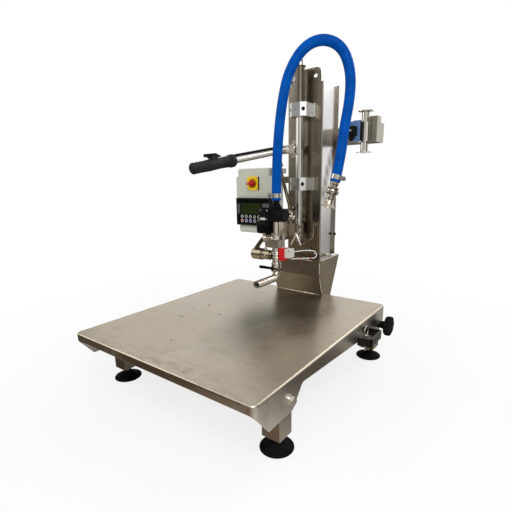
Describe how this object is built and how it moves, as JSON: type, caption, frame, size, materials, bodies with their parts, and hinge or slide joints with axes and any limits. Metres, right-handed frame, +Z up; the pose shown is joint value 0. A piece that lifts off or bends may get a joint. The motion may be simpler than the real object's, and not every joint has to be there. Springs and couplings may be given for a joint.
{
  "type": "bag-in-box filler",
  "caption": "Hand-lifted bag-in-box filler: tilting stainless table on a levelling stand, column with guided filling head, lever, control box, flow meter and blue hose.",
  "frame": {"origin": "centre of the whole machine's outline on the floor, under the levelling feet", "axes": "+X to the operator's right, +Y away from the operator, +Z up"},
  "size_m": [0.71, 0.844, 1.0035],
  "materials": {
    "brushed_stainless": "brushed stainless sheet with faint smudges",
    "polished_stainless": "polished stainless tube",
    "zinc_plated_steel": "bright zinc plating",
    "machined_aluminium": "fine milled aluminium",
    "black_steel": "black oxide screws",
    "black_rubber": "matte black rubber pads",
    "black_rubber_grip": "black moulded grip",
    "black_plastic": "black moulded plastic",
    "grey_enclosure": "pale grey enclosure plastic",
    "display_green": "dark green display glass",
    "yellow_plastic": "yellow switch plate",
    "red_plastic": "red moulded plastic",
    "blue_grey_housing": "blue-grey painted housing",
    "light_grey_plastic": "light grey plug",
    "white_tube": "white tube",
    "blue_hose": "smooth blue hose",
    "key_grey": "grey key cap",
    "key_pink": "pink key cap",
    "key_blue": "blue key cap"
  },
  "bodies": {
    "base": {"base_frame": "brushed_stainless", "foot_pads": "black_rubber", "foot_spindles": "zinc_plated_steel"},
    "table": {"table_tray": "brushed_stainless", "pivot_bolts": "polished_stainless", "side_strap": "brushed_stainless", "retaining_pins": "zinc_plated_steel", "console": "brushed_stainless", "column": "brushed_stainless", "saddle_plate": "brushed_stainless", "guide_blocks": "machined_aluminium", "small_screws": "black_steel", "fulcrum_bracket": "brushed_stainless", "box_bracket": "brushed_stainless", "enclosure_base": "grey_enclosure", "enclosure_lid": "grey_enclosure", "display_bezel": "black_plastic", "display_window": "display_green", "switch_plate": "yellow_plastic", "meter_bracket": "brushed_stainless", "meter_cradle": "brushed_stainless", "meter_tube": "polished_stainless", "meter_housing": "blue_grey_housing", "meter_plug": "black_plastic"},
    "lift": {"lift_shaft": "polished_stainless", "stop_sleeve": "brushed_stainless", "shaft_hub": "brushed_stainless", "head_arm": "brushed_stainless", "fill_valve": "black_plastic", "valve_spigot": "polished_stainless", "valve_actuator": "black_plastic", "fill_pipes": "polished_stainless", "tri_clamp": "polished_stainless", "nozzle": "polished_stainless", "vacuum_port": "brushed_stainless", "sensor_block": "red_plastic", "sensor_plug": "light_grey_plastic", "sensor_tube": "white_tube", "hose": "blue_hose", "hose_clamps": "zinc_plated_steel", "hose_fitting": "polished_stainless"},
    "wing_nut": {"wing_nut": "polished_stainless"},
    "outlet_lever": {"outlet_lever": "black_plastic"},
    "lever": {"lever_fork": "zinc_plated_steel", "lever_tube": "polished_stainless", "lever_grip": "black_rubber_grip"},
    "trigger": {"trigger": "black_plastic"},
    "link": {"link_rod": "zinc_plated_steel"},
    "switch_handle": {"switch_handle": "red_plastic"},
    "lock_knob": {"lock_knob": "black_plastic"},
    "key_1": {"key_1": "key_grey"},
    "key_2": {"key_2": "key_grey"},
    "key_3": {"key_3": "key_grey"},
    "key_4": {"key_4": "key_grey"},
    "key_5": {"key_5": "key_grey"},
    "key_6": {"key_6": "key_pink"},
    "key_7": {"key_7": "key_blue"},
    "key_8": {"key_8": "key_blue"},
    "key_9": {"key_9": "key_grey"},
    "key_10": {"key_10": "key_grey"}
  },
  "joints": [
    {"name": "table_tilt", "type": "hinge", "parent": "base", "child": "table", "pos_m": [0, -0.292, 0.134], "axis": [1, 0, 0], "range_deg": [0, 5]},
    {"name": "lock_screw", "type": "hinge", "parent": "table", "child": "lock_knob", "pos_m": [0.32, 0.252, 0.129], "axis": [1, 0, 0], "continuous": true},
    {"name": "head_lift", "type": "slide", "parent": "table", "child": "lift", "axis": [0, 0, 1], "range_m": [0, 0.04]},
    {"name": "lever_turn", "type": "hinge", "parent": "table", "child": "lever", "pos_m": [-0.028, 0.273, 0.698], "axis": [-1, 0, 0], "range_deg": [0, 21.2]},
    {"name": "link_swing", "type": "hinge", "parent": "lift", "child": "link", "pos_m": [-0.028, 0.274, 0.461], "axis": [1, 0, 0], "range_deg": [0, 1.9]},
    {"name": "trigger_press", "type": "hinge", "parent": "lever", "child": "trigger", "pos_m": [-0.028, -0.13204, 0.6538], "axis": [1, 0, 0], "range_deg": [0, 9], "stiffness_Nm_per_rad": 0.3, "springref_deg": -17.19},
    {"name": "outlet_turn", "type": "hinge", "parent": "lift", "child": "outlet_lever", "pos_m": [0, 0.107, 0.306], "axis": [0, 1, 0], "range_deg": [0, 90]},
    {"name": "wing_nut_turn", "type": "hinge", "parent": "lift", "child": "wing_nut", "pos_m": [0, 0.088, 0.41], "axis": [1, 0, 0], "continuous": true},
    {"name": "main_switch_turn", "type": "hinge", "parent": "table", "child": "switch_handle", "pos_m": [-0.261, 0.34, 0.581], "axis": [0, 1, 0], "range_deg": [0, 90]},
    {"name": "key_1_press", "type": "slide", "parent": "table", "child": "key_1", "axis": [0, 1, 0], "range_m": [0, 0.001], "stiffness_N_per_m": 500, "springref_m": -0.001},
    {"name": "key_2_press", "type": "slide", "parent": "table", "child": "key_2", "axis": [0, 1, 0], "range_m": [0, 0.001], "stiffness_N_per_m": 500, "springref_m": -0.001},
    {"name": "key_3_press", "type": "slide", "parent": "table", "child": "key_3", "axis": [0, 1, 0], "range_m": [0, 0.001], "stiffness_N_per_m": 500, "springref_m": -0.001},
    {"name": "key_4_press", "type": "slide", "parent": "table", "child": "key_4", "axis": [0, 1, 0], "range_m": [0, 0.001], "stiffness_N_per_m": 500, "springref_m": -0.001},
    {"name": "key_5_press", "type": "slide", "parent": "table", "child": "key_5", "axis": [0, 1, 0], "range_m": [0, 0.001], "stiffness_N_per_m": 500, "springref_m": -0.001},
    {"name": "key_6_press", "type": "slide", "parent": "table", "child": "key_6", "axis": [0, 1, 0], "range_m": [0, 0.001], "stiffness_N_per_m": 500, "springref_m": -0.001},
    {"name": "key_7_press", "type": "slide", "parent": "table", "child": "key_7", "axis": [0, 1, 0], "range_m": [0, 0.001], "stiffness_N_per_m": 500, "springref_m": -0.001},
    {"name": "key_8_press", "type": "slide", "parent": "table", "child": "key_8", "axis": [0, 1, 0], "range_m": [0, 0.001], "stiffness_N_per_m": 500, "springref_m": -0.001},
    {"name": "key_9_press", "type": "slide", "parent": "table", "child": "key_9", "axis": [0, 1, 0], "range_m": [0, 0.001], "stiffness_N_per_m": 500, "springref_m": -0.001},
    {"name": "key_10_press", "type": "slide", "parent": "table", "child": "key_10", "axis": [0, 1, 0], "range_m": [0, 0.001], "stiffness_N_per_m": 500, "springref_m": -0.001}
  ],
  "couplings": [
    {"joint": "lever_turn", "follows": "head_lift", "rad_per_m": 9.23},
    {"joint": "link_swing", "follows": "head_lift", "rad_per_m": 0.82}
  ]
}
